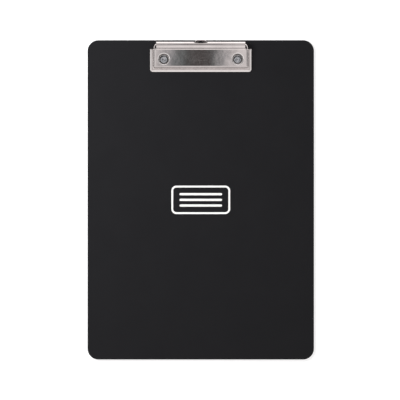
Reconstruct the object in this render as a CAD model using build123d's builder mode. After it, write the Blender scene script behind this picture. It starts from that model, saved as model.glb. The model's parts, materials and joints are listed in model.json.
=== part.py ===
"""A4 clipboard: a flat plastic board with a low, wide spring clip and a pull-out hanging hook.

Frame: origin at the centre of the board's back face, +X to the right, +Y towards the clip, +Z up
out of the board's writing face. Millimetres.

The clip is a base plate riveted to the board, a pressed steel jaw that turns on a long pin held
in the base's ears, and two torsion springs on that pin. The hanging hook slides in a channel
pressed into the base.
"""

import os
from math import cos, radians, sin

from build123d import *

os.makedirs("parts", exist_ok=True)

# ---- board
BOARD_WIDTH = 223.3
BOARD_LENGTH = 315.0
BOARD_THICKNESS = 2.5
BOARD_CORNER_RADIUS = 10.7
BOARD_EDGE_RADIUS = 0.5

TOP = BOARD_THICKNESS
END_Y = BOARD_LENGTH / 2

# ---- clip in general
SHEET = 0.8
LIFT = 0.1
PIN_Y = END_Y - 10.1
PIN_Z = TOP + 3.0
PIN_RADIUS = 1.0
PIN_CLEARANCE = 0.05
PIN_HALF_LENGTH = 47.0

# ---- clip jaw: walls and deck
WALL_HALF_WIDTH = 47.0
WALL_FRONT_Y = 129.15
WALL_REAR_Y = 154.6
WALL_LEAN = 7.0
WALL_FRONT_RADIUS = 2.4
WALL_REAR_RADIUS = 5.2
DECK_HEIGHT = 6.05
DECK_EDGE_RADIUS = 2.0
DECK_REAR_Y = 147.9
FOOT_FILLET = 0.7

# ---- clip jaw: flange that presses on the paper
FLANGE_HALF_WIDTH = 50.0
FLANGE_FRONT_Y = 126.1
FLANGE_CORNER_RADIUS = 2.8
FLANGE_RISE = 0.3
FLANGE_EDGE_RADIUS = 0.4
FLANGE_HEEL_ANGLE = 32.0
HEEL_RADIUS = PIN_Z - TOP - LIFT

# ---- clip jaw: ears behind the deck, below the finger lip
EAR_HEEL_ANGLE = -25.0
EAR_LOWER_DROP = 1.2
EAR_UPPER_REACH = 1.0
EAR_UPPER_DROP = 1.5
EAR_TOP_REACH = -0.6
EAR_TOP_DROP = 0.8
EAR_DECK_DROP = 0.1
EAR_INSIDE = 42.9

# ---- clip jaw: lever and finger lip
LEVER_HALF_WIDTH = 43.65
STEP_FOOT_Y = 147.6
STEP_TOP_Y = 148.6
STEP_HEIGHT = 0.45
STEP_RADIUS = 0.5
LEVER_FOOT_Y = 149.7
CREASE_RADIUS = 1.1
CREST_Y = 152.6
CREST_HEIGHT = 8.75
CREST_RADIUS = 2.6
LIP_TIP_Y = 155.2
LIP_TIP_HEIGHT = 6.2
LEVER_OVERLAP = 1.6
NOTCH_WIDTH = 13.0
NOTCH_DEPTH = 1.5
NOTCH_BOW = 0.3

# ---- rivets and their access holes in the deck
RIVET_PITCH = 72.6
RIVET_Y = 138.3
RIVET_SHANK_RADIUS = 2.0
RIVET_HEAD_RADIUS = 4.35
RIVET_HEAD_HEIGHT = 1.5
RIVET_RIM_HEIGHT = 0.35
RIVET_DIMPLE_RADIUS = 1.75
RIVET_DIMPLE_DROP = 0.25
RIVET_DIMPLE_DEPTH = 0.7
RIVET_TAIL_RADIUS = 3.1
RIVET_TAIL_HEIGHT = 0.4
ACCESS_HOLE_RADIUS = 5.15
ACCESS_COLLAR_WALL = 0.75
ACCESS_COLLAR_DROP = 0.5
ACCESS_EDGE_RADIUS = 0.9
BOARD_HOLE_RADIUS = 2.1
RECESS_RADIUS = 4.8
RECESS_DEPTH = 1.2
WASHER_RADIUS = 4.5
WASHER_THICKNESS = 0.6

# ---- clip base
BASE_HALF_WIDTH = 44.6
BASE_FRONT_Y = 133.4
BASE_REAR_Y = 150.0
BASE_CORNER_RADIUS = 2.0
EAR_RADIUS = 2.0
EAR_FOOT_WIDTH = 7.0
CHANNEL_REAR_Y = 152.8
CHANNEL_SHOULDER_RADIUS = 0.7

# ---- hanging hook
HOOK_HALF_WIDTH = 6.2
HOOK_THICKNESS = 0.8
HOOK_TIP_Y = END_Y + 0.4
HOOK_HEEL_Y = 134.3
HOOK_CORNER_RADIUS = 3.2
HOOK_EDGE_RADIUS = 0.75
HOOK_HOLE_RADIUS = 2.7
HOOK_HOLE_Y = HOOK_TIP_Y - 3.9
HOOK_TRAVEL = 10.5
HOOK_PLAY = 0.2
HOOK_GAP = 0.05
STOP_RADIUS = 1.2
STOP_Y = 148.2

# ---- torsion springs
WIRE_RADIUS = 0.45
COIL_RADIUS = 1.55
COIL_PITCH = 0.96
COIL_TURNS = 7
COIL_START_X = 16.0
BASE_LEG_LENGTH = 3.4
BASE_LEG_DIP = 3.0
LEVER_LEG_LENGTH = 4.4
LEVER_LEG_RISE = 15.0


def along_x(y, z):
    """Plane whose normal is +X, with its origin at (0, y, z): local x is +Y and local y is +Z."""
    return Plane(origin=(0, y, z), x_dir=(0, 1, 0), z_dir=(1, 0, 0))


def make_board():
    """Flat board with rounded corners, two rivet holes, and shallow recesses under them."""
    with BuildPart() as board:
        with BuildSketch(Plane.XY):
            RectangleRounded(BOARD_WIDTH, BOARD_LENGTH, BOARD_CORNER_RADIUS)
        extrude(amount=BOARD_THICKNESS)
        rims = board.faces().filter_by(GeomType.PLANE).filter_by(Axis.Z)
        fillet(rims.edges(), BOARD_EDGE_RADIUS)
        with BuildSketch(Plane.XY):
            with Locations((0, RIVET_Y)), GridLocations(RIVET_PITCH, 0, 2, 1):
                Circle(BOARD_HOLE_RADIUS)
        extrude(amount=BOARD_THICKNESS, mode=Mode.SUBTRACT)
        with BuildSketch(Plane.XY):
            with Locations((0, RIVET_Y)), GridLocations(RIVET_PITCH, 0, 2, 1):
                Circle(RECESS_RADIUS)
        extrude(amount=RECESS_DEPTH, mode=Mode.SUBTRACT)
    return board.part


def wall_form(inset, height, edge_radius=0.0):
    """Solid block with the jaw's leaning walls, shrunk by inset; its top edge may be rounded."""
    half_width = WALL_HALF_WIDTH - inset
    length = WALL_REAR_Y - WALL_FRONT_Y - 2 * inset
    with BuildPart() as form:
        with BuildSketch(Plane.XY.offset(TOP)) as foot:
            with Locations((0, (WALL_REAR_Y + WALL_FRONT_Y) / 2)):
                Rectangle(2 * half_width, length)
            fillet(foot.vertices().group_by(Axis.Y)[0], WALL_FRONT_RADIUS - inset)
            fillet(foot.vertices().group_by(Axis.Y)[-1], WALL_REAR_RADIUS - inset)
        extrude(amount=height, taper=WALL_LEAN)
        if edge_radius:
            fillet(form.faces().sort_by(Axis.Z)[-1].edges(), edge_radius)
    return form.part


def foot_outline(half_width, front_y, corner_radius):
    """Plan of the rim: square at the pin, rounded at its two front corners."""
    with BuildSketch() as outline:
        with Locations((0, front_y)):
            Rectangle(2 * half_width, PIN_Y - front_y, align=(Align.CENTER, Align.MIN))
        fillet(outline.vertices().group_by(Axis.Y)[0], corner_radius)
    return outline.sketch


def rim_form(thickness):
    """Solid plate round the jaw's foot whose top rises from its outer edge to the walls."""
    edge_top = Plane.XY.offset(TOP + thickness)
    wall_top = Plane.XY.offset(TOP + thickness + FLANGE_RISE)
    with BuildPart() as rim:
        with BuildSketch(Plane.XY.offset(TOP)):
            add(foot_outline(FLANGE_HALF_WIDTH, FLANGE_FRONT_Y, FLANGE_CORNER_RADIUS))
        extrude(amount=thickness)
        with BuildSketch(edge_top):
            add(foot_outline(FLANGE_HALF_WIDTH, FLANGE_FRONT_Y, FLANGE_CORNER_RADIUS))
        with BuildSketch(wall_top):
            inset = SHEET / 2
            add(
                foot_outline(
                    WALL_HALF_WIDTH - inset, WALL_FRONT_Y + inset, WALL_FRONT_RADIUS - inset
                )
            )
        loft(ruled=True)
    return rim.part


def make_heels():
    """Ends of the rim behind the pin: two tongues that curl up round the hinge axis."""
    edge = TOP + LIFT
    inside = WALL_HALF_WIDTH - SHEET
    with BuildPart() as heels:
        with BuildSketch(Plane(origin=(0, PIN_Y, 0), x_dir=(1, 0, 0), z_dir=(0, -1, 0))):
            with BuildLine():
                Polyline(
                    (FLANGE_HALF_WIDTH, edge),
                    (FLANGE_HALF_WIDTH, edge + SHEET),
                    (inside, edge + SHEET + FLANGE_RISE),
                    (inside, edge + FLANGE_RISE),
                    close=True,
                )
            make_face()
            mirror(about=Plane.YZ)
        revolve(axis=Axis((0, PIN_Y, PIN_Z), (1, 0, 0)), revolution_arc=FLANGE_HEEL_ANGLE)
    return heels.part


def make_lever():
    """Sheet behind the deck: a low step, a rounded crest, and the finger lip turned down."""
    deck = DECK_HEIGHT - SHEET / 2
    with BuildPart() as lever:
        with BuildSketch(along_x(0, TOP)):
            with BuildLine():
                FilletPolyline(
                    (STEP_FOOT_Y - LEVER_OVERLAP, deck),
                    (STEP_FOOT_Y, deck),
                    (STEP_TOP_Y, deck + STEP_HEIGHT),
                    (LEVER_FOOT_Y, deck + STEP_HEIGHT),
                    (CREST_Y, CREST_HEIGHT),
                    (LIP_TIP_Y - SHEET / 2, LIP_TIP_HEIGHT + SHEET / 2),
                    radius=(STEP_RADIUS, STEP_RADIUS, CREASE_RADIUS, CREST_RADIUS),
                )
                offset(amount=SHEET / 2, side=Side.BOTH)
            make_face()
        extrude(amount=LEVER_HALF_WIDTH, both=True)
    return lever.part


def make_ears():
    """Ends of the side walls: they run on behind the deck and curl in to carry the lip's ends."""
    reach = CREST_Y - PIN_Y
    with BuildPart() as ears:
        add(wall_form(0, 2 * DECK_HEIGHT))
        add(wall_form(SHEET, 2 * DECK_HEIGHT), mode=Mode.SUBTRACT)
        with BuildSketch(along_x(PIN_Y, PIN_Z)):
            with BuildLine():
                deck = TOP + DECK_HEIGHT - PIN_Z
                crest = TOP + CREST_HEIGHT - PIN_Z
                heel = CenterArc((0, 0), HEEL_RADIUS, -90, 90 + EAR_HEEL_ANGLE)
                Polyline(
                    heel @ 1,
                    (reach, deck - EAR_LOWER_DROP),
                    (reach + EAR_UPPER_REACH, crest - EAR_UPPER_DROP),
                    (reach + EAR_TOP_REACH, crest - EAR_TOP_DROP),
                    (DECK_REAR_Y - PIN_Y, deck - EAR_DECK_DROP),
                    (0, deck - EAR_DECK_DROP),
                    heel @ 0,
                )
            make_face()
        extrude(amount=WALL_HALF_WIDTH, both=True, mode=Mode.INTERSECT)
        with BuildSketch(Plane.XY.offset(TOP)):
            with Locations((0, PIN_Y)):
                Rectangle(2 * EAR_INSIDE, 4 * reach)
        extrude(amount=2 * DECK_HEIGHT, mode=Mode.SUBTRACT)
    return ears.part


def is_foot_crease(edge):
    """True for the edges where the jaw's walls meet the top of the rim."""
    middle = edge.center()
    above_rim = (middle.Z - (TOP + LIFT + SHEET)) / FLANGE_RISE
    beside_walls = abs(middle.X) < WALL_HALF_WIDTH and WALL_FRONT_Y < middle.Y < PIN_Y - SHEET
    return 0.5 < above_rim < 1.5 and beside_walls


def is_flange_edge(edge):
    """True for the upper outer edge of the rim, from the pin round the front to the pin."""
    middle = edge.center()
    level = abs(middle.Z - (TOP + LIFT + SHEET)) < 0.01
    return level and middle.Y < PIN_Y - SHEET


def is_access_rim(edge):
    """True for the upper rim of either access hole."""
    if edge.geom_type != GeomType.CIRCLE:
        return False
    above_deck = edge.center().Z - (TOP + DECK_HEIGHT)
    return abs(edge.radius - ACCESS_HOLE_RADIUS) < 0.01 and abs(above_deck) < 0.01


def make_clip_jaw():
    """The jaw in one pressed sheet: flange, walls, deck, lever, finger lip and ears."""
    deck = TOP + DECK_HEIGHT
    with BuildPart() as jaw:
        add(wall_form(0, DECK_HEIGHT, DECK_EDGE_RADIUS))
        add(rim_form(LIFT + SHEET))
        fillet(jaw.edges().filter_by(is_foot_crease), FOOT_FILLET)
        fillet(jaw.edges().filter_by(is_flange_edge), FLANGE_EDGE_RADIUS)
        add(wall_form(SHEET, DECK_HEIGHT - SHEET, DECK_EDGE_RADIUS - SHEET), mode=Mode.SUBTRACT)
        with BuildSketch(Plane.XY.offset(TOP)):
            with Locations((0, DECK_REAR_Y)):
                Rectangle(4 * WALL_HALF_WIDTH, BOARD_WIDTH, align=(Align.CENTER, Align.MIN))
        extrude(amount=2 * DECK_HEIGHT, mode=Mode.SUBTRACT)
        add(rim_form(LIFT), mode=Mode.SUBTRACT)
        with BuildSketch(along_x(PIN_Y, PIN_Z)):
            Rectangle(2 * HEEL_RADIUS, 2 * HEEL_RADIUS, align=(Align.MIN, Align.MAX))
        extrude(amount=WALL_HALF_WIDTH, both=True, mode=Mode.SUBTRACT)
        with BuildSketch(Plane.XY.offset(deck - SHEET)):
            with Locations((0, STEP_FOOT_Y)):
                Rectangle(2 * LEVER_HALF_WIDTH, DECK_HEIGHT, align=(Align.CENTER, Align.MIN))
        extrude(amount=DECK_HEIGHT, mode=Mode.SUBTRACT)
        add(make_ears())
        add(make_heels())
        add(make_lever())
        with BuildSketch(Plane.XY.offset(deck)):
            with Locations((0, RIVET_Y)), GridLocations(RIVET_PITCH, 0, 2, 1):
                Circle(ACCESS_HOLE_RADIUS + ACCESS_COLLAR_WALL)
        extrude(amount=-SHEET - ACCESS_COLLAR_DROP)
        with BuildSketch(Plane.XY.offset(deck)):
            with Locations((0, RIVET_Y)), GridLocations(RIVET_PITCH, 0, 2, 1):
                Circle(ACCESS_HOLE_RADIUS)
        extrude(amount=-DECK_HEIGHT, mode=Mode.SUBTRACT)
        fillet(jaw.edges().filter_by(is_access_rim), ACCESS_EDGE_RADIUS)
        with BuildSketch(along_x(PIN_Y, PIN_Z)):
            Circle(PIN_RADIUS + PIN_CLEARANCE)
        extrude(amount=FLANGE_HALF_WIDTH, both=True, mode=Mode.SUBTRACT)
        with BuildSketch(Plane.XY.offset(TOP)):
            with BuildLine():
                root = LIP_TIP_Y - NOTCH_DEPTH
                left = (-NOTCH_WIDTH / 2, root + NOTCH_BOW)
                right = (NOTCH_WIDTH / 2, root + NOTCH_BOW)
                ThreePointArc(left, (0, root), right)
                Polyline(
                    right,
                    (NOTCH_WIDTH / 2, END_Y),
                    (-NOTCH_WIDTH / 2, END_Y),
                    left,
                )
            make_face()
        extrude(amount=2 * DECK_HEIGHT, mode=Mode.SUBTRACT)
    return jaw.part


def make_clip_base():
    """Riveted base plate: two ears for the pin and a raised channel for the hanging hook."""
    channel_inside = HOOK_HALF_WIDTH + HOOK_PLAY
    channel_roof = HOOK_THICKNESS + 2 * HOOK_GAP
    depth = BASE_REAR_Y - BASE_FRONT_Y
    with BuildPart() as base:
        with BuildSketch(Plane.XY.offset(TOP)) as outline:
            with Locations((0, BASE_FRONT_Y + depth / 2)):
                Rectangle(2 * BASE_HALF_WIDTH, depth)
            fillet(outline.vertices(), BASE_CORNER_RADIUS)
        extrude(amount=SHEET)
        with BuildSketch(Plane.XY.offset(TOP)):
            with Locations((0, BASE_FRONT_Y)):
                Rectangle(
                    2 * (channel_inside + SHEET),
                    CHANNEL_REAR_Y - BASE_FRONT_Y,
                    align=(Align.CENTER, Align.MIN),
                )
        extrude(amount=channel_roof + SHEET)
        shoulders = base.faces().sort_by(Axis.Z)[-1].edges().filter_by(Axis.Y)
        fillet(shoulders, CHANNEL_SHOULDER_RADIUS)
        with BuildSketch(Plane.XY.offset(TOP)):
            with Locations((0, BASE_FRONT_Y)):
                Rectangle(
                    2 * channel_inside,
                    CHANNEL_REAR_Y - BASE_FRONT_Y,
                    align=(Align.CENTER, Align.MIN),
                )
        extrude(amount=channel_roof, mode=Mode.SUBTRACT)
        with BuildSketch(Plane.XY.offset(TOP + HOOK_GAP)):
            with Locations((0, STOP_Y)):
                Circle(STOP_RADIUS)
        extrude(amount=channel_roof - HOOK_GAP + SHEET / 2)
        for side in (-1, 1):
            ear_plane = along_x(PIN_Y, PIN_Z).offset(side * (BASE_HALF_WIDTH - SHEET / 2))
            with BuildSketch(ear_plane):
                with BuildLine():
                    foot = PIN_Z - TOP - SHEET / 2
                    Polyline(
                        (EAR_RADIUS, 0),
                        (EAR_RADIUS, -EAR_RADIUS),
                        (BASE_REAR_Y - PIN_Y - BASE_CORNER_RADIUS / 2, -foot),
                        (-EAR_FOOT_WIDTH, -foot),
                        (-EAR_RADIUS, 0),
                    )
                    ThreePointArc((-EAR_RADIUS, 0), (0, EAR_RADIUS), (EAR_RADIUS, 0))
                make_face()
                Circle(PIN_RADIUS, mode=Mode.SUBTRACT)
            extrude(amount=SHEET / 2, both=True)
        with BuildSketch(Plane.XY.offset(TOP)):
            with Locations((0, RIVET_Y)), GridLocations(RIVET_PITCH, 0, 2, 1):
                Circle(RIVET_SHANK_RADIUS)
        extrude(amount=SHEET, mode=Mode.SUBTRACT)
    return base.part


def make_hanging_hook():
    """Flat steel tab with a hanging hole near its round tip and a long slot for its stop."""
    bottom = TOP + HOOK_GAP
    with BuildPart() as hook:
        with BuildSketch(Plane.XY.offset(bottom)) as outline:
            with Locations((0, HOOK_HEEL_Y)):
                Rectangle(
                    2 * HOOK_HALF_WIDTH,
                    HOOK_TIP_Y - HOOK_HEEL_Y,
                    align=(Align.CENTER, Align.MIN),
                )
            fillet(outline.vertices().group_by(Axis.Y)[-1], HOOK_CORNER_RADIUS)
            with Locations((0, HOOK_HOLE_Y)):
                Circle(HOOK_HOLE_RADIUS, mode=Mode.SUBTRACT)
            slot_half_width = STOP_RADIUS + HOOK_PLAY
            with Locations((0, STOP_Y - HOOK_TRAVEL / 2)):
                SlotOverall(
                    HOOK_TRAVEL + 2 * slot_half_width,
                    2 * slot_half_width,
                    rotation=90,
                    mode=Mode.SUBTRACT,
                )
        extrude(amount=HOOK_THICKNESS)
        tip = hook.faces().sort_by(Axis.Z)[-1].edges().sort_by(Axis.Y)[-1]
        fillet(tip, HOOK_EDGE_RADIUS)
    return hook.part


def make_hinge_pin():
    """Plain steel pin the full width of the clip, with rounded ends."""
    with BuildPart() as pin:
        with BuildSketch(along_x(PIN_Y, PIN_Z)):
            Circle(PIN_RADIUS)
        extrude(amount=PIN_HALF_LENGTH, both=True)
        fillet(pin.faces().filter_by(Axis.X).edges(), PIN_RADIUS / 2)
    return pin.part


def make_rivet(side):
    """Semi-tubular rivet: domed ring head with a dimple, shank, and a tail rolled out below."""
    seat = TOP + SHEET
    crown = seat + RIVET_HEAD_HEIGHT
    tail_top = RECESS_DEPTH - WASHER_THICKNESS
    ring_radius = (RIVET_HEAD_RADIUS + RIVET_DIMPLE_RADIUS) / 2
    centre = Plane(origin=(side * RIVET_PITCH / 2, RIVET_Y, 0), x_dir=(1, 0, 0), z_dir=(0, -1, 0))
    with BuildPart() as rivet:
        with BuildSketch(centre):
            with BuildLine():
                rim = (RIVET_HEAD_RADIUS, seat + RIVET_RIM_HEIGHT)
                top = (ring_radius, crown)
                lip = (RIVET_DIMPLE_RADIUS, crown - RIVET_DIMPLE_DROP)
                floor = (0, crown - RIVET_DIMPLE_DEPTH)
                Polyline(
                    floor,
                    (0, tail_top - RIVET_TAIL_HEIGHT),
                    (RIVET_TAIL_RADIUS, tail_top - RIVET_TAIL_HEIGHT),
                    (RIVET_TAIL_RADIUS, tail_top),
                    (RIVET_SHANK_RADIUS, tail_top),
                    (RIVET_SHANK_RADIUS, seat),
                    (RIVET_HEAD_RADIUS, seat),
                    rim,
                )
                into_dimple = (-1, -0.9)
                Spline(rim, top, lip, tangents=((-0.25, 1), into_dimple))
                Spline(lip, floor, tangents=(into_dimple, (-1, 0)))
            make_face()
        revolve(axis=Axis(centre.origin, (0, 0, 1)))
    return rivet.part


def make_rivet_washer(side):
    """Flat washer let into the board's back, under the rivet's rolled tail."""
    bottom = RECESS_DEPTH - WASHER_THICKNESS
    with BuildPart() as washer:
        with BuildSketch(Plane.XY.offset(bottom)):
            with Locations((side * RIVET_PITCH / 2, RIVET_Y)):
                Circle(WASHER_RADIUS)
                Circle(RIVET_SHANK_RADIUS + PIN_CLEARANCE, mode=Mode.SUBTRACT)
        extrude(amount=WASHER_THICKNESS)
    return washer.part


def make_torsion_spring(side):
    """Close coil on the pin with two legs towards the lip: one on the base, one under the lever.

    It is wound about its own Z axis from the lever leg, then set on the pin, lever leg inwards.
    """
    turns = COIL_TURNS + 0.5 - (LEVER_LEG_RISE + BASE_LEG_DIP) / 360
    rise = radians(LEVER_LEG_RISE)
    with BuildPart() as coil:
        with BuildLine() as path:
            Line((COIL_RADIUS, -LEVER_LEG_LENGTH, 0), (COIL_RADIUS, 0, 0))
            winding = Helix(pitch=COIL_PITCH, height=turns * COIL_PITCH, radius=COIL_RADIUS)
            heading = winding % 1
            leg = Vector(heading.X, heading.Y, 0).normalized() * BASE_LEG_LENGTH
            Line(winding @ 1, (winding @ 1) + leg)
        with BuildSketch(Plane(origin=(COIL_RADIUS, -LEVER_LEG_LENGTH, 0), z_dir=(0, 1, 0))):
            Circle(WIRE_RADIUS)
        sweep(path=path.wires()[0], is_frenet=True)
    on_pin = Plane(
        origin=(COIL_START_X, PIN_Y, PIN_Z),
        x_dir=(0, -sin(rise), cos(rise)),
        z_dir=(1, 0, 0),
    )
    with BuildPart() as spring:
        add(on_pin.location * coil.part)
        if side < 0:
            mirror(about=Plane.YZ, mode=Mode.REPLACE)
    return spring.part


def save(node, name):
    """Label one finished piece and write it as its own STEP file."""
    node.label = name
    export_step(node, f"parts/{name}.step")


save(make_board(), "board")
save(make_clip_jaw(), "clip_jaw")
save(make_clip_base(), "clip_base")
save(make_hanging_hook(), "hanging_hook")
save(make_hinge_pin(), "hinge_pin")
for side_name, side_sign in (("left", -1), ("right", 1)):
    save(make_torsion_spring(side_sign), f"torsion_spring_{side_name}")
    save(make_rivet(side_sign), f"rivet_{side_name}")
    save(make_rivet_washer(side_sign), f"rivet_washer_{side_name}")
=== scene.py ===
"""Clipboard with a low spring clip: finishes, springs, print, studio and camera around the frame.

Metres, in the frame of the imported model: +X right, +Y towards the clip, +Z out of the writing face.
"""

import json
import math

import bmesh
import bpy
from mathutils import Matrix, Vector


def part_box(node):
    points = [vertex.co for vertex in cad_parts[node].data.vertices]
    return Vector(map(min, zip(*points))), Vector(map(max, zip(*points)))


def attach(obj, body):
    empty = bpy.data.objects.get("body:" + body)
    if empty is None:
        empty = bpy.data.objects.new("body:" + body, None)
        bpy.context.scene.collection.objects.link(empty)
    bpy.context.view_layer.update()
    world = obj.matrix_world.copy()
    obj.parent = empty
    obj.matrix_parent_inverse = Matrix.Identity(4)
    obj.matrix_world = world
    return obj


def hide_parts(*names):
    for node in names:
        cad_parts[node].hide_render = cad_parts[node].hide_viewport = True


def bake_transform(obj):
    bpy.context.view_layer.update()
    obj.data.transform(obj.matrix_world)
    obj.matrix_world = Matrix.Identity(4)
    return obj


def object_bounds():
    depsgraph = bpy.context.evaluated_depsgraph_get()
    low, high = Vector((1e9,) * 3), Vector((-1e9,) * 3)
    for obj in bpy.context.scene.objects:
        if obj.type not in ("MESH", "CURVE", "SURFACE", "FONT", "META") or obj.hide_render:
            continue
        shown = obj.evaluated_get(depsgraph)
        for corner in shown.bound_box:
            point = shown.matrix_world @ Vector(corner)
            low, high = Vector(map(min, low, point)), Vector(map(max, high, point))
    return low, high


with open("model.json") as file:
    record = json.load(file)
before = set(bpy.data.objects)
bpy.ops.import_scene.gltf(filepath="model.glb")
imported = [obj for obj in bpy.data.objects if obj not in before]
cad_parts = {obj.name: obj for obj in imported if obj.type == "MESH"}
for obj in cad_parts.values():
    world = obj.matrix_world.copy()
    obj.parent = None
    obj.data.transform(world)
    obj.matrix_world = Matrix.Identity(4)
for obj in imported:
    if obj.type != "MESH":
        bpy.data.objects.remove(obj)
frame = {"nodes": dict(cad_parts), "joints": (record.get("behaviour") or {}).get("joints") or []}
cad_low, cad_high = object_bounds()
nodes = frame["nodes"]

MM = 0.001


# ---------------------------------------------------------------- node helpers
class Finish:
    """One procedural material: a Principled shader and short ways to wire nodes into it."""

    def __init__(self, name, metallic=0.0, **sockets):
        self.material = bpy.data.materials.new(name)
        self.material.use_nodes = True
        self.tree = self.material.node_tree
        self.shader = self.tree.nodes["Principled BSDF"]
        self.shader.inputs["Metallic"].default_value = metallic
        for socket, value in sockets.items():
            self.shader.inputs[socket.replace("_", " ")].default_value = value
        self.place = self.add("ShaderNodeTexCoord").outputs["Object"]
        axes = self.add("ShaderNodeSeparateXYZ")
        self.wire(self.place, axes.inputs["Vector"])
        self.x, self.y, self.z = (axes.outputs[k] for k in "XYZ")

    def add(self, kind, **settings):
        node = self.tree.nodes.new(kind)
        for key, value in settings.items():
            setattr(node, key, value)
        return node

    def wire(self, value, socket):
        if isinstance(value, bpy.types.NodeSocket):
            self.tree.links.new(value, socket)
        else:
            socket.default_value = value

    def stretched(self, scale, turn=(0, 0, 0)):
        """Object coordinates scaled differently along each axis, for brushing and scratches."""
        mapping = self.add("ShaderNodeMapping")
        self.wire(self.place, mapping.inputs["Vector"])
        mapping.inputs["Scale"].default_value = scale
        mapping.inputs["Rotation"].default_value = [math.radians(a) for a in turn]
        return mapping.outputs["Vector"]

    def noise(self, scale, detail=3.0, rough=0.5, distortion=0.0, place=None):
        node = self.add("ShaderNodeTexNoise")
        self.wire(place or self.place, node.inputs["Vector"])
        node.inputs["Scale"].default_value = scale
        node.inputs["Detail"].default_value = detail
        node.inputs["Roughness"].default_value = rough
        node.inputs["Distortion"].default_value = distortion
        return node.outputs["Fac"]

    def cells(self, scale, feature="F1", place=None):
        node = self.add("ShaderNodeTexVoronoi", feature=feature)
        self.wire(place or self.place, node.inputs["Vector"])
        node.inputs["Scale"].default_value = scale
        return node.outputs["Distance"]

    def fit(self, value, low, high, to_low=0.0, to_high=1.0, smooth=False):
        """Maps low..high to to_low..to_high, clamped."""
        node = self.add("ShaderNodeMapRange", clamp=True)
        if smooth:
            node.interpolation_type = "SMOOTHSTEP"
        self.wire(value, node.inputs["Value"])
        for socket, number in zip(
            ("From Min", "From Max", "To Min", "To Max"), (low, high, to_low, to_high)
        ):
            node.inputs[socket].default_value = number
        return node.outputs["Result"]

    def math(self, operation, a, b=0.0):
        node = self.add("ShaderNodeMath", operation=operation)
        self.wire(a, node.inputs[0])
        self.wire(b, node.inputs[1])
        return node.outputs["Value"]

    def blend(self, factor, a, b):
        """Colour a where factor is 0 and colour b where it is 1."""
        node = self.add("ShaderNodeMix", data_type="RGBA")
        self.wire(factor, node.inputs["Factor"])
        for name, value in (("A", a), ("B", b)):
            socket = [s for s in node.inputs if s.name == name and s.type == "RGBA"][0]
            self.wire(value if isinstance(value, bpy.types.NodeSocket) else (*value, 1), socket)
        return [s for s in node.outputs if s.type == "RGBA"][0]

    def bump(self, height, depth, strength=1.0, under=None):
        node = self.add("ShaderNodeBump")
        self.wire(height, node.inputs["Height"])
        node.inputs["Distance"].default_value = depth
        node.inputs["Strength"].default_value = strength
        if under is not None:
            self.wire(under, node.inputs["Normal"])
        return node.outputs["Normal"]

    def set(self, socket, value):
        self.wire(value, self.shader.inputs[socket])

    def paint(self, *objects):
        for o in objects:
            o.data.materials.clear()
            o.data.materials.append(self.material)


def scratches(finish, scale, turn, threshold, depth):
    """Thin straight marks: 1 along a scratch, 0 elsewhere."""
    lines = finish.noise(1.0, 2.0, 0.5, 0.0, finish.stretched(scale, turn))
    return finish.fit(lines, threshold, threshold + depth)


# ---------------------------------------------------------------- finishes
RUBBED_BLACK = (0.016, 0.016, 0.017)
PALE_EDGE = 1.1 * MM


def board_plastic():
    """Black moulded plastic: fine matte grain, faint rubbing, duller and paler at the edges."""
    f = Finish("board_plastic", Specular_IOR_Level=0.095)
    half_x, half_y = cad_high.x, -cad_low.y
    from_side = f.math("SUBTRACT", half_x, f.math("ABSOLUTE", f.x))
    from_end = f.math("SUBTRACT", half_y, f.math("ABSOLUTE", f.y))
    from_edge = f.math("MINIMUM", from_side, from_end)
    patchy = f.noise(420, 4, 0.6)
    edge = f.fit(from_edge, PALE_EDGE, 0.0, smooth=True)
    edge = f.math("MULTIPLY", edge, f.fit(patchy, 0.42, 0.7))
    mottle = f.noise(28, 5, 0.6, 0.4)
    rub = scratches(f, (900, 14, 40), (0, 0, 24), 0.70, 0.05)
    rub = f.math("MAXIMUM", rub, scratches(f, (16, 1100, 40), (0, 0, 17), 0.71, 0.05))
    rub = f.math("MULTIPLY", rub, f.fit(f.noise(9, 2), 0.5, 0.66))
    tone = f.blend(f.fit(mottle, 0.35, 0.65), (0.0104, 0.0105, 0.0118), (0.0113, 0.0114, 0.0127))
    tone = f.blend(edge, tone, RUBBED_BLACK)
    tone = f.blend(f.math("MULTIPLY", rub, 0.35), tone, RUBBED_BLACK)
    f.set("Base Color", tone)
    rough = f.fit(mottle, 0.3, 0.7, 0.40, 0.50)
    rough = f.math("ADD", rough, f.math("MULTIPLY", edge, 0.08))
    f.set("Roughness", f.math("SUBTRACT", rough, f.math("MULTIPLY", rub, 0.06)))
    grain = f.math("ADD", f.cells(2300), f.math("MULTIPLY", f.noise(4200, 2), 0.5))
    relief = f.bump(grain, 0.05 * MM, 0.55)
    relief = f.bump(f.noise(55, 3), 0.12 * MM, 0.35, relief)
    f.set("Normal", relief)
    return f


# Where painted highlights and painted shade go on the jaw, measured from its edges and from its
# access holes.
FLANGE = 3.0 * MM
FOOT_CREASE = 0.7 * MM
HOLE_RING = 5.8 * MM
LIP_TO_FOLD = 6.35 * MM
# Each mask fades out between its first width, where it is 0, and its second, where it is 1.
RIM_WIDTHS = (1.5 * MM, 1.0 * MM)
RING_WIDTHS = (0.75 * MM, 0.35 * MM)
CREASE_WIDTHS = (0.8 * MM, 0.3 * MM)
FOLD_WIDTHS = (0.6 * MM, 0.2 * MM)
# how far the painted shade darkens the jaw's creases
PAINTED_SHADE_DEPTH = 0.6


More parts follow.
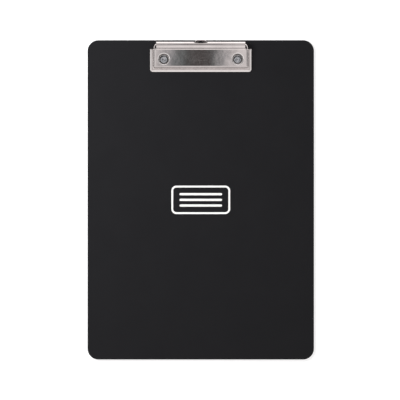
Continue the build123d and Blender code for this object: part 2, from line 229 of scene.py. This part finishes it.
def jaw_painted_light(f):
    """Masks on the jaw: painted highlights on its flange rims and round its access holes, and painted
    shade in its creases.
    """
    low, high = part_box("clip_jaw")
    head_low, head_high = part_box("rivet_right")
    hole_x, hole_y = (head_low.x + head_high.x) / 2, (head_low.y + head_high.y) / 2
    side = f.math("ABSOLUTE", f.x)
    uneven = f.fit(f.noise(260, 4, 0.6), 0.3, 0.6, 0.6, 1.0)
    on_flange = f.fit(f.z, low.z + 1.6 * MM, low.z + 1.2 * MM)
    from_rim = f.math("MINIMUM", f.math("SUBTRACT", high.x, side), f.math("SUBTRACT", f.y, low.y))
    rim = f.math("MULTIPLY", f.fit(from_rim, *RIM_WIDTHS, smooth=True), on_flange)
    across = f.math("POWER", f.math("SUBTRACT", side, hole_x), 2.0)
    along = f.math("POWER", f.math("SUBTRACT", f.y, hole_y), 2.0)
    from_hole = f.math("SQRT", f.math("ADD", across, along))
    on_ring = f.math("ABSOLUTE", f.math("SUBTRACT", from_hole, HOLE_RING))
    ring = f.fit(on_ring, *RING_WIDTHS, smooth=True)
    # painted highlight: a pale band along the flange rims and a pale ring round each access hole
    painted_highlight = f.math("MAXIMUM", rim, f.math("MULTIPLY", ring, f.fit(f.z, 7 * MM, 7.4 * MM)))
    # painted shade: dark bands along the crease at the flange's foot and along the fold behind the
    # lip
    foot = f.math("ABSOLUTE", f.math("SUBTRACT", from_rim, FLANGE - FOOT_CREASE))
    foot = f.fit(foot, *CREASE_WIDTHS, smooth=True)
    foot = f.math("MULTIPLY", foot, f.fit(f.z, low.z + 3 * MM, low.z + 1.5 * MM))
    fold = f.math("ABSOLUTE", f.math("SUBTRACT", f.y, high.y - LIP_TO_FOLD))
    fold = f.fit(fold, *FOLD_WIDTHS, smooth=True)
    painted_shade = f.math("MULTIPLY", f.math("MAXIMUM", foot, fold), PAINTED_SHADE_DEPTH)
    return f.math("MULTIPLY", painted_highlight, uneven), f.math("MULTIPLY", painted_shade, uneven)


def plated_steel(name="plated_steel", light=(0.80, 0.755, 0.745), dull=(0.70, 0.66, 0.65),
                 rough=(0.02, 0.055), along=(70, 3600, 3600), waves=0.03 * MM, marks=None):
    """Bright nickel plate on pressed steel: faint brushing, slow waves, specks and fine wear."""
    f = Finish(name, metallic=1.0)
    cloud = f.noise(70, 5, 0.6, 0.6)
    brushed = f.noise(1.0, 3, 0.6, 0.0, f.stretched(along))
    worn = scratches(f, (1500, 60, 300), (0, 0, 38), 0.69, 0.05)
    worn = f.math("MAXIMUM", worn, scratches(f, (90, 1700, 300), (0, 0, -21), 0.70, 0.05))
    worn = f.math("MULTIPLY", worn, f.fit(f.noise(60, 2), 0.45, 0.65))
    specks = f.fit(f.cells(900), 0.10, 0.03)
    specks = f.math("MULTIPLY", specks, f.fit(f.noise(150, 2), 0.55, 0.7))
    tone = f.blend(f.fit(cloud, 0.35, 0.68), light, dull)
    tone = f.blend(f.math("MULTIPLY", specks, 0.5), tone, (0.42, 0.39, 0.37))
    haze = f.fit(cloud, 0.3, 0.72, *rough)
    if marks:
        # with masks, painted shade darkens the creases and painted highlights whiten the rims and
        # hole rings
        painted_highlight, painted_shade = marks(f)
        tone = f.blend(painted_shade, tone, (0.36, 0.335, 0.33))
        tone = f.blend(painted_highlight, tone, (0.98, 0.955, 0.945))
        haze = f.math("ADD", haze, f.math("MULTIPLY", painted_shade, 0.10))
    f.set("Base Color", tone)
    haze = f.math("ADD", haze, f.math("MULTIPLY", brushed, 0.02))
    haze = f.math("ADD", haze, f.math("MULTIPLY", worn, 0.10))
    f.set("Roughness", f.math("ADD", haze, f.math("MULTIPLY", specks, 0.2)))
    relief = f.bump(f.noise(24, 2, 0.4), waves * 3, 0.6)
    relief = f.bump(f.noise(95, 3, 0.5), waves, 0.5, relief)
    relief = f.bump(brushed, 0.0025 * MM, 0.6, relief)
    relief = f.bump(worn, 0.004 * MM, 0.5, relief)
    f.set("Normal", relief)
    return f


def rivet_steel():
    """Cooler, greyer bright steel, struck: clouded, with small dents and facets."""
    f = Finish("rivet_steel", metallic=1.0)
    cloud = f.noise(420, 4, 0.6, 0.5)
    tone = f.blend(f.fit(cloud, 0.35, 0.68), (0.66, 0.68, 0.71), (0.42, 0.44, 0.47))
    f.set("Base Color", tone)
    f.set("Roughness", f.fit(cloud, 0.3, 0.7, 0.10, 0.22))
    relief = f.bump(f.noise(620, 3, 0.55), 0.15 * MM, 0.8)
    relief = f.bump(f.cells(1500, "SMOOTH_F1"), 0.04 * MM, 0.5, relief)
    f.set("Normal", relief)
    return f


def spring_steel():
    """Oiled music wire: dark and clouded, with a fine drawn grain."""
    f = Finish("spring_steel", metallic=1.0)
    cloud = f.noise(500, 4, 0.6)
    f.set("Base Color", f.blend(f.fit(cloud, 0.35, 0.65), (0.40, 0.39, 0.38), (0.26, 0.25, 0.245)))
    f.set("Roughness", f.fit(cloud, 0.3, 0.7, 0.24, 0.40))
    f.set("Normal", f.bump(f.noise(2600, 2), 0.02 * MM, 0.5))
    return f


def white_print():
    """Screen-printed white ink: slightly uneven film with pinholes."""
    f = Finish("white_print", Specular_IOR_Level=0.4)
    film = f.noise(900, 4, 0.6)
    pinholes = f.fit(f.cells(1300), 0.085, 0.05)
    tone = f.blend(f.fit(film, 0.35, 0.65), (0.86, 0.86, 0.85), (0.78, 0.78, 0.775))
    f.set("Base Color", f.blend(f.math("MULTIPLY", pinholes, 0.4), tone, (0.2, 0.2, 0.2)))
    f.set("Roughness", f.fit(film, 0.3, 0.7, 0.42, 0.55))
    f.set("Normal", f.bump(film, 0.03 * MM, 0.5))
    return f


plastic = board_plastic()
jaw_plate = plated_steel("jaw_steel", marks=jaw_painted_light)
plate = plated_steel()
# the base plate's colour is darker than the other plate's as painted shade, for where it lies under
# the jaw
shade_darkened_plate = plated_steel("base_steel", (0.78, 0.75, 0.74), (0.52, 0.50, 0.49), (0.12, 0.24))
pin_plate = plated_steel("pin_steel", rough=(0.12, 0.24), along=(3600, 90, 90), waves=0.02 * MM)
rivet = rivet_steel()
wire = spring_steel()
ink = white_print()

plastic.paint(nodes["board"])
jaw_plate.paint(nodes["clip_jaw"])
plate.paint(nodes["hanging_hook"])
shade_darkened_plate.paint(nodes["clip_base"])
pin_plate.paint(nodes["hinge_pin"])
rivet.paint(*[nodes[f"rivet_{s}"] for s in ("left", "right")])
rivet.paint(*[nodes[f"rivet_washer_{s}"] for s in ("left", "right")])


# ---------------------------------------------------------------- mesh helpers
def mesh_object(name, build):
    """Object whose mesh is filled in by build(bmesh)."""
    bm = bmesh.new()
    build(bm)
    bmesh.ops.recalc_face_normals(bm, faces=bm.faces)
    mesh = bpy.data.meshes.new(name)
    bm.to_mesh(mesh)
    bm.free()
    obj = bpy.data.objects.new(name, mesh)
    bpy.context.scene.collection.objects.link(obj)
    return obj


def tube(bm, points, radius, sides=16):
    """Round wire along points, carried without twist, with slightly rounded cut ends."""
    points = [Vector(p) for p in points]
    heading = [(points[min(i + 1, len(points) - 1)] - points[max(i - 1, 0)]).normalized()
               for i in range(len(points))]
    side = heading[0].orthogonal().normalized()
    rings = []
    for i, (point, along) in enumerate(zip(points, heading)):
        side = (side - along * side.dot(along)).normalized()
        up = along.cross(side)
        reach = radius * (0.8 if i in (0, len(points) - 1) else 1.0)
        rings.append([
            bm.verts.new(point + reach * (side * math.cos(a) + up * math.sin(a)))
            for a in (2 * math.pi * k / sides for k in range(sides))
        ])
    for lower, upper in zip(rings, rings[1:]):
        for k in range(sides):
            n = (k + 1) % sides
            face = bm.faces.new((lower[k], lower[n], upper[n], upper[k]))
            face.smooth = True
    bm.faces.new(rings[0][::-1])
    bm.faces.new(rings[-1])


# ---------------------------------------------------------------- torsion springs
hinge = next(j for j in frame["joints"] if j["name"] == "jaw_hinge")
PIN = Vector(hinge["pos_m"])
WIRE_RADIUS = 0.45 * MM
COIL_RADIUS = 1.55 * MM
COIL_PITCH = 0.96 * MM
COIL_START = 16.0 * MM
COIL_TURNS = 7
LEVER_LEG = 4.4 * MM
LEVER_RISE = math.radians(15.0)
BASE_LEG = 3.4 * MM
BASE_DIP = math.radians(3.0)
COIL_STEPS = 300
LEG_STEPS = 8


def spring_path(side):
    """Lever leg, coil from the inner end outwards, then the base leg, at rest.

    Angles are measured about the pin from +Y towards +Z.
    """
    start = LEVER_RISE + math.pi / 2
    sweep = 2 * math.pi * COIL_TURNS + math.pi - LEVER_RISE - BASE_DIP

    def on_coil(t):
        angle = start + sweep * t
        x = COIL_START + COIL_PITCH * sweep * t / (2 * math.pi)
        return Vector((side * x, PIN.y + COIL_RADIUS * math.cos(angle),
                       PIN.z + COIL_RADIUS * math.sin(angle)))

    coil = [on_coil(i / COIL_STEPS) for i in range(COIL_STEPS + 1)]
    outward = Vector((0, math.cos(LEVER_RISE), math.sin(LEVER_RISE)))
    lever = [coil[0] + outward * LEVER_LEG * k / LEG_STEPS for k in range(LEG_STEPS, 0, -1)]
    last = start + sweep
    along = Vector((0, -math.sin(last), math.cos(last)))
    base = [coil[-1] + along * BASE_LEG * k / LEG_STEPS for k in range(1, LEG_STEPS + 1)]
    return lever + coil + base


# the last part of a turn brings the wire round to the base leg
for side_name, side in (("left", -1), ("right", 1)):
    spring = mesh_object(
        f"spring_coil_{side_name}",
        lambda bm, side=side: tube(bm, spring_path(side), WIRE_RADIUS),
    )
    wire.paint(spring)
    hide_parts(f"torsion_spring_{side_name}")
    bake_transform(spring)


# ---------------------------------------------------------------- printed mark
board_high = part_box("board")[1]
INK_FILM = 0.02 * MM
LABEL_WIDTH = 58 * MM
LABEL_HEIGHT = 28 * MM
LABEL_RADIUS = 5 * MM
LABEL_LINE = 1.8 * MM
RULE_LENGTH = 42 * MM
RULE_WIDTH = 2.2 * MM
RULE_PITCH = 5.6 * MM


def rounded_loop(width, height, radius, centre=(0, 0), steps=8):
    """Corner points of a rounded rectangle, anticlockwise."""
    loop = []
    for k, (sx, sy) in enumerate(((1, 1), (-1, 1), (-1, -1), (1, -1))):
        for i in range(steps + 1):
            a = math.pi / 2 * (k + i / steps)
            loop.append((
                centre[0] + sx * (width / 2 - radius) + radius * math.cos(a),
                centre[1] + sy * (height / 2 - radius) + radius * math.sin(a),
            ))
    return loop


def film(bm, outer, inner=None):
    """Ink film: a flat plate with the outline outer, or a band between outer and inner."""
    top = board_high.z + INK_FILM

    def ring(loop, z):
        return [bm.verts.new((x, y, z)) for x, y in loop]

    upper, lower = ring(outer, top), ring(outer, board_high.z)
    count = len(outer)
    for k in range(count):
        n = (k + 1) % count
        bm.faces.new((lower[k], lower[n], upper[n], upper[k]))
    if inner is None:
        bm.faces.new(upper)
        bm.faces.new(lower[::-1])
        return
    inner_upper, inner_lower = ring(inner, top), ring(inner, board_high.z)
    for k in range(count):
        n = (k + 1) % count
        bm.faces.new((upper[k], upper[n], inner_upper[n], inner_upper[k]))
        bm.faces.new((inner_lower[k], inner_lower[n], lower[n], lower[k]))
        bm.faces.new((inner_upper[k], inner_upper[n], inner_lower[n], inner_lower[k]))


def label_frame(bm):
    """A blank label: an outlined box with three ruled lines."""
    film(
        bm,
        rounded_loop(LABEL_WIDTH, LABEL_HEIGHT, LABEL_RADIUS),
        rounded_loop(
            LABEL_WIDTH - 2 * LABEL_LINE,
            LABEL_HEIGHT - 2 * LABEL_LINE,
            LABEL_RADIUS - LABEL_LINE,
        ),
    )
    for y in (RULE_PITCH, 0.0, -RULE_PITCH):
        film(bm, rounded_loop(RULE_LENGTH, RULE_WIDTH, RULE_WIDTH / 2, (0, y)))


mark = mesh_object("printed_label_frame", label_frame)
ink.paint(mark)
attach(mark, "board_and_base")


# ---------------------------------------------------------------- floor
FLOOR_REACH = 6.0
FLOOR_STEPS = 12
FLOOR_DROP = 0.05 * MM
FLOOR_GLOW = 0.68


def floor_plane(bm):
    bmesh.ops.create_grid(bm, x_segments=FLOOR_STEPS, y_segments=FLOOR_STEPS, size=FLOOR_REACH)


floor = mesh_object("floor", floor_plane)
floor.location.z = -FLOOR_DROP
floor_paint = Finish(
    "floor_paint", Specular_IOR_Level=0.1, Roughness=0.9, Emission_Strength=FLOOR_GLOW)
floor_paint.shader.inputs["Emission Color"].default_value = (1, 1, 1, 1)
floor_paint.set("Base Color", floor_paint.blend(
    floor_paint.noise(6, 3), (0.40, 0.40, 0.40), (0.43, 0.43, 0.43)))
floor_paint.paint(floor)


# ---------------------------------------------------------------- studio light
# A white dome with a soft dark gap straight above, where the camera looks through, and a dim
# band behind it. Both fade away towards the horizon, which stays pale in the side views.
world = bpy.data.worlds.new("studio")
bpy.context.scene.world = world
world.use_nodes = True
tree = world.node_tree
tree.nodes.clear()


def world_math(operation, a, b=0.0, c=0.0):
    node = tree.nodes.new("ShaderNodeMath")
    node.operation = operation
    for socket, value in zip(node.inputs, (a, b, c)):
        if isinstance(value, bpy.types.NodeSocket):
            tree.links.new(value, socket)
        else:
            socket.default_value = value
    return node.outputs["Value"]


def world_fade(value, low, high):
    """Rises smoothly from 0 at low to 1 at high."""
    node = tree.nodes.new("ShaderNodeMapRange")
    node.interpolation_type = "SMOOTHSTEP"
    tree.links.new(value, node.inputs["Value"])
    node.inputs["From Min"].default_value = low
    node.inputs["From Max"].default_value = high
    return node.outputs["Result"]


def world_ramp(value, stops):
    """Colour along stops, each a position and a colour."""
    node = tree.nodes.new("ShaderNodeValToRGB")
    tree.links.new(value, node.inputs["Fac"])
    ramp = node.color_ramp
    while len(ramp.elements) < len(stops):
        ramp.elements.new(0.5)
    for element, (position, colour) in zip(ramp.elements, stops):
        element.position = position
        element.color = (*colour, 1)
    return node.outputs["Color"]


def world_mix(blend_type, factor, a, b):
    """Colour a with colour b added to it or multiplied into it."""
    node = tree.nodes.new("ShaderNodeMix")
    node.data_type = "RGBA"
    node.blend_type = blend_type
    colour_in = [s for s in node.inputs if s.type == "RGBA"]
    for value, socket in ((factor, node.inputs["Factor"]), (a, colour_in[0]), (b, colour_in[1])):
        if isinstance(value, bpy.types.NodeSocket):
            tree.links.new(value, socket)
        else:
            socket.default_value = value
    return [s for s in node.outputs if s.type == "RGBA"][0]


def grey(level):
    return (level, level, level)


coords = tree.nodes.new("ShaderNodeTexCoord")
axes = tree.nodes.new("ShaderNodeSeparateXYZ")
tree.links.new(coords.outputs["Generated"], axes.inputs["Vector"])
dx, dy, dz = (axes.outputs[k] for k in "XYZ")
# how far a direction leans from straight up, as a slope along x and along y
up = world_math("MAXIMUM", dz, 0.02)
lean_x = world_math("DIVIDE", dx, up)
lean_y = world_math("DIVIDE", dy, up)
gap_x = world_math("MAXIMUM", world_fade(lean_x, 0.0, -0.034), world_fade(lean_x, 0.0024, 0.0224))
gap_front = world_fade(lean_y, -0.035, -0.075)
gap_rear = world_fade(lean_y, 0.50, 0.66)
open_sky = world_math("MAXIMUM", gap_x, world_math("MAXIMUM", gap_front, gap_rear))
rear_band = world_math("MULTIPLY", world_fade(lean_y, 0.12, 0.18), world_fade(lean_y, 0.64, 0.48))
above = world_fade(dz, 0.15, 0.30)
rear_band = world_math("MULTIPLY", rear_band, above)
open_sky = world_math("MULTIPLY_ADD", world_math("MULTIPLY", rear_band, -0.85), open_sky, open_sky)
ceiling = world_ramp(open_sky, (
    (0.0, (0.080, 0.064, 0.063)),
    (0.35, (0.15, 0.18, 0.18)),
    (0.65, (0.44, 0.44, 0.46)),
    (1.0, (1.0, 0.96, 0.955)),
))
half_dy = world_math("MULTIPLY_ADD", dy, 0.5, 0.5)
dome = world_ramp(half_dy, (
    (0.0, grey(0.80)),
    (0.10, grey(0.66)),
    (0.16, grey(0.95)),
    (0.22, grey(0.62)),
    (0.30, grey(0.42)),
    (0.44, grey(0.92)),
    (0.52, grey(0.74)),
    (0.75, grey(0.86)),
    (0.95, grey(1.3)),
))
sideways = world_math("MULTIPLY", world_math("ABSOLUTE", dx), above)
sides = world_math("MULTIPLY_ADD", sideways, -0.35, 1.0)
glow = world_fade(dz, 0.40, 0.05)
lifted_dome = world_mix("ADD", glow, dome, (*grey(0.35), 1))
sky = world_mix("MULTIPLY", 1.0, ceiling, lifted_dome)
background = tree.nodes.new("ShaderNodeBackground")
tree.links.new(sides, background.inputs["Strength"])
tree.links.new(sky, background.inputs["Color"])
output = tree.nodes.new("ShaderNodeOutputWorld")
tree.links.new(background.outputs["Background"], output.inputs["Surface"])


def softbox(name, place, size, power, target=(0, 0, 0), in_reflections=True):
    """Rectangular area light at place, facing target."""
    lamp = bpy.data.lights.new(name, "AREA")
    lamp.shape = "RECTANGLE"
    lamp.size, lamp.size_y = size
    lamp.energy = power
    obj = bpy.data.objects.new(name, lamp)
    obj.location = place
    obj.rotation_euler = (Vector(target) - Vector(place)).to_track_quat("-Z", "Y").to_euler()
    obj.visible_glossy = in_reflections
    bpy.context.scene.collection.objects.link(obj)


softbox("key_light", (-0.42, 0.23, 0.42), (0.3, 0.3), 4.7, in_reflections=False)
softbox("fill_light", (1.3, 0.1, 1.2), (1.0, 1.0), 1.5, in_reflections=False)
softbox("sheen_card", (-0.50, 0.06, 0.62), (0.50, 0.60), 0.5, target=(-0.50, 0.06, 0))


# ---------------------------------------------------------------- camera
CAMERA_HEIGHT = 1.5
CAMERA_X = -0.00076
CAMERA_Y = -0.00015
FIELD_WIDTH = 0.3945
SENSOR = 36.0
camera_data = bpy.data.cameras.new("camera")
camera_data.sensor_width = SENSOR
camera_data.lens = SENSOR * CAMERA_HEIGHT / FIELD_WIDTH
camera_data.clip_start = 0.05
camera_data.clip_end = 20
camera = bpy.data.objects.new("camera", camera_data)
camera.location = (CAMERA_X, CAMERA_Y, board_high.z + CAMERA_HEIGHT)
bpy.context.scene.collection.objects.link(camera)
bpy.context.scene.camera = camera
bpy.context.scene.view_settings.view_transform = "Standard"
